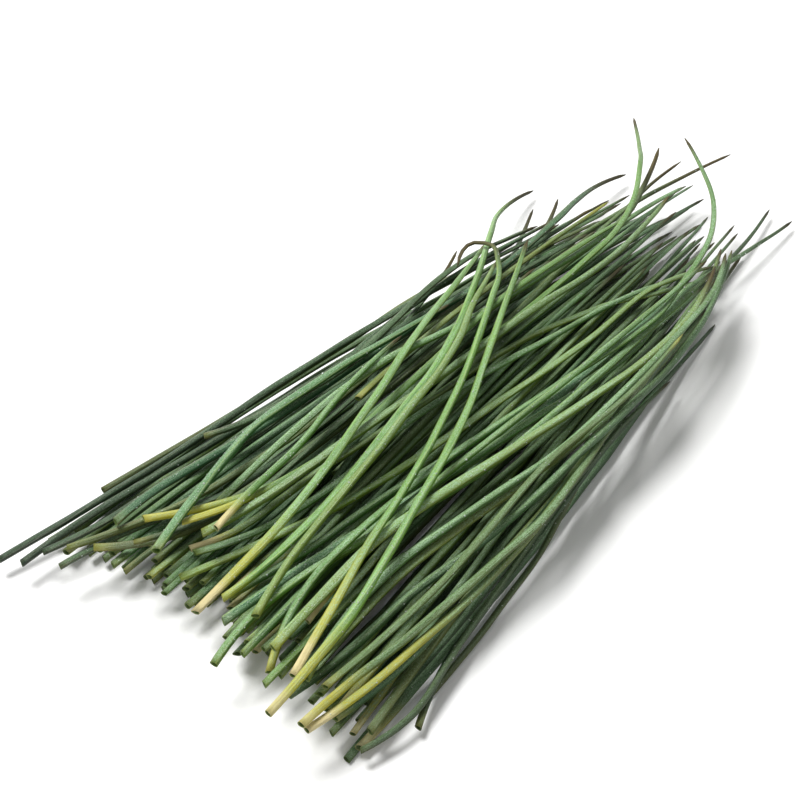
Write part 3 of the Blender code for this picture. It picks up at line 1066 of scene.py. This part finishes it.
def build_piece(name, parts, materials):
    """One mesh from (points, faces, readings, material number) of several leaves and their dew."""
    points, faces, slots = [], [], []
    readings = [[], [], [], []]
    start = 0
    for part_points, part_faces, part_readings, slot in parts:
        points.append(part_points)
        faces.extend(tuple(corner + start for corner in face) for face in part_faces)
        slots.extend([slot] * len(part_faces))
        for kept, reading in zip(readings, part_readings):
            kept.append(reading)
        start += len(part_points)
    points = np.concatenate(points) * MM
    points = np.clip(points, cad_bounds[0], cad_bounds[1])
    mesh = bpy.data.meshes.new(name)
    mesh.from_pydata(points.tolist(), [], faces)
    for title, kept in zip(("grain", "leaf", "mark", "place"), readings):
        attribute = mesh.attributes.new(title, "FLOAT_VECTOR", "POINT")
        attribute.data.foreach_set("vector", np.concatenate(kept).astype(np.float32).ravel())
    for material in materials:
        mesh.materials.append(material)
    mesh.polygons.foreach_set("material_index", slots)
    mesh.update()
    mesh.shade_smooth()
    piece = bpy.data.objects.new(name, mesh)
    bpy.context.scene.collection.objects.link(piece)
    return piece


def paint(red, green, blue):
    """A linear colour from screen values of 0 to 255."""
    return tuple(((value / 255 + 0.055) / 1.055) ** 2.4 for value in (red, green, blue)) + (1,)


class Graph:
    """Short calls for the nodes of one material."""

    def __init__(self, name):
        self.material = bpy.data.materials.new(name)
        self.material.use_nodes = True
        self.tree = self.material.node_tree
        self.shader = self.tree.nodes["Principled BSDF"]

    def put(self, socket, value):
        if isinstance(value, bpy.types.NodeSocket):
            self.tree.links.new(value, socket)
        else:
            socket.default_value = value

    def reading(self, title):
        node = self.tree.nodes.new("ShaderNodeAttribute")
        node.attribute_name = title
        return node.outputs["Vector"]

    def split(self, vector):
        node = self.tree.nodes.new("ShaderNodeSeparateXYZ")
        self.put(node.inputs[0], vector)
        return node.outputs

    def math(self, operation, first, second=0.0):
        node = self.tree.nodes.new("ShaderNodeMath")
        node.operation = operation
        self.put(node.inputs[0], first)
        self.put(node.inputs[1], second)
        return node.outputs[0]

    def scaled(self, vector, scale):
        node = self.tree.nodes.new("ShaderNodeMapping")
        self.put(node.inputs["Vector"], vector)
        node.inputs["Scale"].default_value = scale
        return node.outputs[0]

    def noise(self, vector, scale, detail=2.0, roughness=0.5):
        node = self.tree.nodes.new("ShaderNodeTexNoise")
        self.put(node.inputs["Vector"], vector)
        node.inputs["Scale"].default_value = scale
        node.inputs["Detail"].default_value = detail
        node.inputs["Roughness"].default_value = roughness
        return node.outputs["Fac"]

    def ramp(self, value, low, high, first=0.0, last=1.0):
        node = self.tree.nodes.new("ShaderNodeMapRange")
        node.interpolation_type = "SMOOTHSTEP"
        self.put(node.inputs["Value"], value)
        node.inputs["From Min"].default_value = low
        node.inputs["From Max"].default_value = high
        node.inputs["To Min"].default_value = first
        node.inputs["To Max"].default_value = last
        return node.outputs[0]

    def mix(self, share, first, second):
        node = self.tree.nodes.new("ShaderNodeMix")
        node.data_type = "RGBA"
        self.put(node.inputs["Factor"], share)
        self.put(node.inputs["A"], first)
        self.put(node.inputs["B"], second)
        return node.outputs["Result"]

    def upward(self):
        node = self.tree.nodes.new("ShaderNodeNewGeometry")
        return self.split(node.outputs["Normal"])[2]

    def bump(self, height, distance):
        node = self.tree.nodes.new("ShaderNodeBump")
        node.inputs["Distance"].default_value = distance
        node.inputs["Strength"].default_value = 1.0
        self.put(node.inputs["Height"], height)
        self.put(self.shader.inputs["Normal"], node.outputs[0])


# How fine the patterns on a leaf are, across and along it, and how deep they go in metres
RIB_SCALE = (3.4, 3.4, 0.7)
PATCH_SCALE = (0.5, 0.5, 0.9)
FROST_SCALE = (5.0, 5.0, 34.0)
SPECK_SCALE = (7.0, 7.0, 70.0)
RELIEF = 0.0004

# Colours that all leaves share
YELLOW = paint(186, 176, 26)
OLIVE = paint(88, 92, 26)
TEAL = paint(26, 92, 62)
CREAM = paint(214, 200, 146)
DRY_BROWN = paint(112, 98, 56)
DRY_DARK = paint(50, 46, 26)
CUT_GREEN = paint(88, 112, 40)
# Pale grey-green: the leaves' wax bloom, and a painted sheen where faces turn up to the light
BLOOM_AND_SHEEN = paint(148, 182, 140)
# Near-white painted glints of tiny drops on upward faces
PAINTED_GLINT = paint(206, 222, 200)
# A dark green painted as shade under covering leaves and low down near the floor
PAINTED_SHADE_GREEN = paint(5, 26, 7)
DEW_DARK = paint(206, 222, 206)
DEW_LIGHT = paint(236, 242, 236)

# Each family: slot, dark and light green, share of wax bloom and painted sheen on upward faces, colour
# of the ridge and its share
FAMILY_LOOKS = {
    "left_leaf": (
        "dark_green_leaf",
        paint(12, 36, 13),
        paint(44, 84, 28),
        0.34,
        paint(104, 72, 42),
        0.55,
    ),
    "yellow_leaf": (
        "yellow_leaf",
        paint(42, 88, 18),
        paint(108, 154, 40),
        0.50,
        paint(140, 150, 56),
        0.45,
    ),
    "cut_leaf": (
        "green_leaf",
        paint(22, 74, 18),
        paint(84, 152, 40),
        0.80,
        paint(160, 186, 84),
        0.55,
    ),
    "right_leaf": (
        "shaded_green_leaf",
        paint(12, 50, 15),
        paint(50, 110, 32),
        0.55,
        paint(120, 148, 64),
        0.45,
    ),
    "top_leaf": (
        "bloomed_leaf",
        paint(26, 84, 30),
        paint(86, 156, 60),
        0.90,
        paint(144, 174, 106),
        0.50,
    ),
    "crossing_leaf": (
        "crossing_green_leaf",
        paint(46, 104, 22),
        paint(124, 184, 56),
        0.68,
        paint(182, 202, 110),
        0.65,
    ),
    "tip_leaf": (
        "tip_green_leaf",
        paint(28, 62, 20),
        paint(74, 114, 42),
        0.48,
        paint(110, 112, 62),
        0.45,
    ),
    "heap": (
        "inner_leaf",
        paint(26, 82, 24),
        paint(88, 156, 50),
        0.95,
        paint(122, 152, 66),
        0.45,
    ),
}

# What single leaves show
LEAF_LOOKS = {
    "yellow_leaf_01": Look(1, 26, 6, 0.6, 0.03),
    "yellow_leaf_02": Look(1, 22, 16, 0.6, 0.03),
    "crossing_leaf_01": Look(1, 2, 6, -0.1, blue=0.95),
    "crossing_leaf_03": Look(11, 34, 8, 0.4, 0.06),
    "crossing_leaf_04": Look(1, 8, 26, 0.5, 0.06),
    "crossing_leaf_06": Look(11, 44, 34, 0.5, 0.08),
    "crossing_leaf_07": Look(6, 30, 8, 0.5, 0.08),
    "cut_leaf_06": Look(1, 0, 6, 0.2, blue=0.95),
    "cut_leaf_09": Look(1, 10, 9, 0.3, 0.06),
    "cut_leaf_11": Look(8, 34, 8, 0.5, 0.08),
    "right_leaf_05": Look(1, 4, 8, 0.3, blue=0.5),
    "right_leaf_06": Look(9, 48, 8, 0.4, 0.20),
    "right_leaf_07": Look(4, 20, 8, 0.0, 0.10),
    "left_leaf_01": Look(0, 0, 10, -0.7),
    "left_leaf_02": Look(0, 0, 10, -0.7),
    "left_leaf_03": Look(0, 0, 10, -0.6),
    "left_leaf_09": Look(0, 2, 26, 0.8, blue=0.5),
    "tip_leaf_01": Look(0, 0, 34, -0.2, 0.10),
    "tip_leaf_02": Look(0, 0, 26, -0.2, 0.10),
    "tip_leaf_03": Look(0, 0, 26, 0.0, 0.10),
    "tip_leaf_05": Look(0, 0, 26, -0.6),
    "tip_leaf_06": Look(0, 0, 24, -0.4),
    "tip_leaf_07": Look(0, 0, 22, -0.2),
    "tip_leaf_08": Look(1, 4, 0, 0.9, 0.3, gold=18),
    "tip_leaf_09": Look(1, 4, 0, 0.2, 0.1, gold=9),
}

# Drops of dew on a leaf, by family, and on the leaves that carry the most
DEW_ON = {
    "left_leaf": 8,
    "yellow_leaf": 16,
    "cut_leaf": 46,
    "right_leaf": 22,
    "top_leaf": 60,
    "crossing_leaf": 40,
    "tip_leaf": 14,
    "heap": 8,
    "left_leaf_09": 70,
    "crossing_leaf_01": 90,
    "cut_leaf_06": 70,
}


def leaf_material(name, dark, light, bloom_and_sheen_share, ridge_colour, ridge_share):
    graph = Graph(f"fine_{name}")
    grain = graph.reading("grain")
    tint, dry, pale = graph.split(graph.reading("leaf"))
    cut_face_and_bore_shade, warm, ridge = graph.split(graph.reading("mark"))
    shade, along, blue = graph.split(graph.reading("place"))
    ribs = graph.noise(graph.scaled(grain, RIB_SCALE), 1.0, 3.0, 0.6)
    patches = graph.noise(graph.scaled(grain, PATCH_SCALE), 1.0, 2.0)
    frost = graph.noise(graph.scaled(grain, FROST_SCALE), 1.0, 2.0, 0.7)
    specks = graph.noise(graph.scaled(grain, SPECK_SCALE), 1.0, 1.0)

    colour = graph.mix(graph.ramp(ribs, 0.36, 0.66), dark, light)
    colour = graph.mix(graph.ramp(patches, 0.3, 0.75, 0.0, 0.4), colour, light)
    colour = graph.mix(graph.math("MULTIPLY", blue, 0.8), colour, TEAL)
    colour = graph.mix(graph.ramp(graph.split(grain)[0], 0.0, 0.9, 0.0, 0.25), colour, OLIVE)
    edge = graph.math("MULTIPLY", graph.ramp(ridge, 0.62, 1.0), ridge_share)
    colour = graph.mix(edge, colour, ridge_colour)
    colour = graph.mix(graph.ramp(tint, 0.0, 1.0, 0.6, 0.0), colour, dark)
    colour = graph.mix(graph.math("MULTIPLY", warm, 0.85), colour, YELLOW)
    # The bloom shows only on faces that turn up: wax bloom, and painted sheen of light from above
    top = graph.math("MULTIPLY", graph.ramp(graph.upward(), 0.15, 0.95), bloom_and_sheen_share)
    wax_and_sheen = graph.math("MULTIPLY", top, graph.ramp(frost, 0.40, 0.60, 0.15, 1.30))
    wax_and_sheen = graph.math("MULTIPLY", wax_and_sheen, graph.ramp(patches, 0.3, 0.7, 0.55, 1.1))
    wax_and_sheen = graph.math("MULTIPLY", wax_and_sheen, graph.ramp(along, 0.0, 0.25, 0.7, 1.0))
    colour = graph.mix(wax_and_sheen, colour, BLOOM_AND_SHEEN)
    # Painted glints: small near-white specks on faces that turn up
    painted_glints = graph.math("MULTIPLY", top, graph.ramp(specks, 0.60, 0.70, 0.0, 0.8))
    colour = graph.mix(painted_glints, colour, PAINTED_GLINT)
    colour = graph.mix(pale, colour, CREAM)
    withered = graph.mix(graph.ramp(ribs, 0.35, 0.65), DRY_DARK, DRY_BROWN)
    colour = graph.mix(dry, colour, withered)
    # The cut face's own green, then painted shade where the bore goes deep
    colour = graph.mix(graph.ramp(cut_face_and_bore_shade, 0.0, 0.5), colour, CUT_GREEN)
    colour = graph.mix(graph.ramp(cut_face_and_bore_shade, 0.6, 1.0), colour, dark)
    # Painted shade: darker under covering leaves and near the floor
    colour = graph.mix(graph.math("MULTIPLY", shade, 0.6), colour, PAINTED_SHADE_GREEN)
    graph.put(graph.shader.inputs["Base Color"], colour)

    rough = graph.ramp(frost, 0.3, 0.7, 0.30, 0.52)
    graph.put(graph.shader.inputs["Roughness"], graph.math("ADD", rough, graph.math("MULTIPLY", dry, 0.25)))
    graph.shader.inputs["Specular IOR Level"].default_value = 0.5
    relief = graph.math("ADD", ribs, graph.math("MULTIPLY", frost, 0.4))
    graph.bump(relief, RELIEF)
    return graph.material


def dew_material():
    graph = Graph("dew")
    place = graph.tree.nodes.new("ShaderNodeTexCoord").outputs["Object"]
    cloud = graph.noise(place, 900.0)
    graph.put(graph.shader.inputs["Base Color"], graph.mix(cloud, DEW_DARK, DEW_LIGHT))
    graph.put(graph.shader.inputs["Roughness"], graph.ramp(cloud, 0.3, 0.7, 0.04, 0.10))
    graph.shader.inputs["Specular IOR Level"].default_value = 0.8
    graph.shader.inputs["Transmission Weight"].default_value = 0.3
    graph.shader.inputs["IOR"].default_value = 1.33
    return graph.material


def leaf_part(draw, heights, spine, full_width, look, origin):
    points, faces, readings = fine_leaf(draw, heights, spine, full_width, look, origin)
    return points, faces, readings, 0


def dew_part(draw, points, number):
    drops, faces = dew_on(draw, points, number)
    blank = [np.zeros((len(drops), 3))] * 4
    return drops, faces, blank, 1


def make_leaves():
    heights = HeightMap()
    heap = lay_heap(heights)
    top_leaves = lay_top_leaves(heights)
    first = "left_leaf_01"
    origin = coarse_low(*top_leaves[first]) - np.array(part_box(first)[0]) / MM
    origin[2] = 0
    draw = random.Random(SEED)
    dew = dew_material()
    materials = {slot: leaf_material(slot, *colours) for slot, *colours in FAMILY_LOOKS.values()}
    for name, (spine, _) in top_leaves.items():
        family = name.rsplit("_", 1)[0]
        slot = FAMILY_LOOKS[family][0]
        look = LEAF_LOOKS.get(name) or random_look(draw)
        part = leaf_part(draw, heights, spine, LEAF_PICKS[name][0], look, origin)
        drops = dew_part(draw, part[0], DEW_ON.get(name, DEW_ON[family]))
        piece = build_piece(f"fine_{name}", [part, drops], [materials[slot], dew])
        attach(piece, "root")
        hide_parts(name)
    slot = FAMILY_LOOKS["heap"][0]
    for start in range(0, len(heap), HEAP_PIECE_LEAVES):
        parts = []
        for spine, half_width in heap[start : start + HEAP_PIECE_LEAVES]:
            full_width = half_width.max() / FULLEST_SHARE
            part = leaf_part(draw, heights, spine, full_width, random_look(draw), origin)
            parts += [part, dew_part(draw, part[0], DEW_ON["heap"])]
        piece = build_piece(f"heap_leaves_{start // HEAP_PIECE_LEAVES + 1}", parts, [materials[slot], dew])
        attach(piece, "root")
        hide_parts("leaf_heap")
    return origin


def make_floor():
    mesh = bpy.data.meshes.new("floor")
    corners = [(-1, -1, 0), (1, -1, 0), (1, 1, 0), (-1, 1, 0)]
    corners = [(FLOOR_REACH * x, FLOOR_REACH * y, z) for x, y, z in corners]
    mesh.from_pydata(corners, [], [(0, 1, 2, 3)])
    floor = bpy.data.objects.new("floor", mesh)
    bpy.context.scene.collection.objects.link(floor)
    graph = Graph("floor")
    place = graph.tree.nodes.new("ShaderNodeTexCoord").outputs["Object"]
    cloud = graph.noise(place, 3.0)
    graph.put(graph.shader.inputs["Base Color"], graph.mix(cloud, FLOOR_DARK, FLOOR_LIGHT))
    graph.shader.inputs["Roughness"].default_value = 0.9
    mesh.materials.append(graph.material)


def aim(thing, target):
    thing.rotation_mode = "QUATERNION"
    thing.rotation_quaternion = (target - thing.location).to_track_quat("-Z", "Y")


def add_light(name, place, size, power, target):
    light = bpy.data.lights.new(name, "AREA")
    light.shape = "DISK"
    light.size = size
    light.energy = power
    lamp = bpy.data.objects.new(name, light)
    lamp.location = Vector(place)
    bpy.context.scene.collection.objects.link(lamp)
    aim(lamp, target)


def make_view(origin):
    target = Vector((np.array(TARGET) - origin) * MM)
    lens = bpy.data.cameras.new("camera")
    lens.lens = LENS
    lens.sensor_width = SENSOR
    camera = bpy.data.objects.new("camera", lens)
    camera.location = target + Vector(towards_camera()) * DISTANCE
    aim(camera, target)
    bpy.context.scene.collection.objects.link(camera)
    bpy.context.scene.camera = camera
    for name, (place, size, power) in LIGHTS.items():
        add_light(name, place, size, power, target)


def make_world():
    world = bpy.data.worlds.new("studio")
    world.use_nodes = True
    background = world.node_tree.nodes["Background"]
    background.inputs["Color"].default_value = (1.0, 1.0, 1.0, 1)
    background.inputs["Strength"].default_value = ROOM_LIGHT
    bpy.context.scene.world = world
    bpy.context.scene.view_settings.view_transform = "Standard"


layout_origin = make_leaves()
make_floor()
make_view(layout_origin)
make_world()
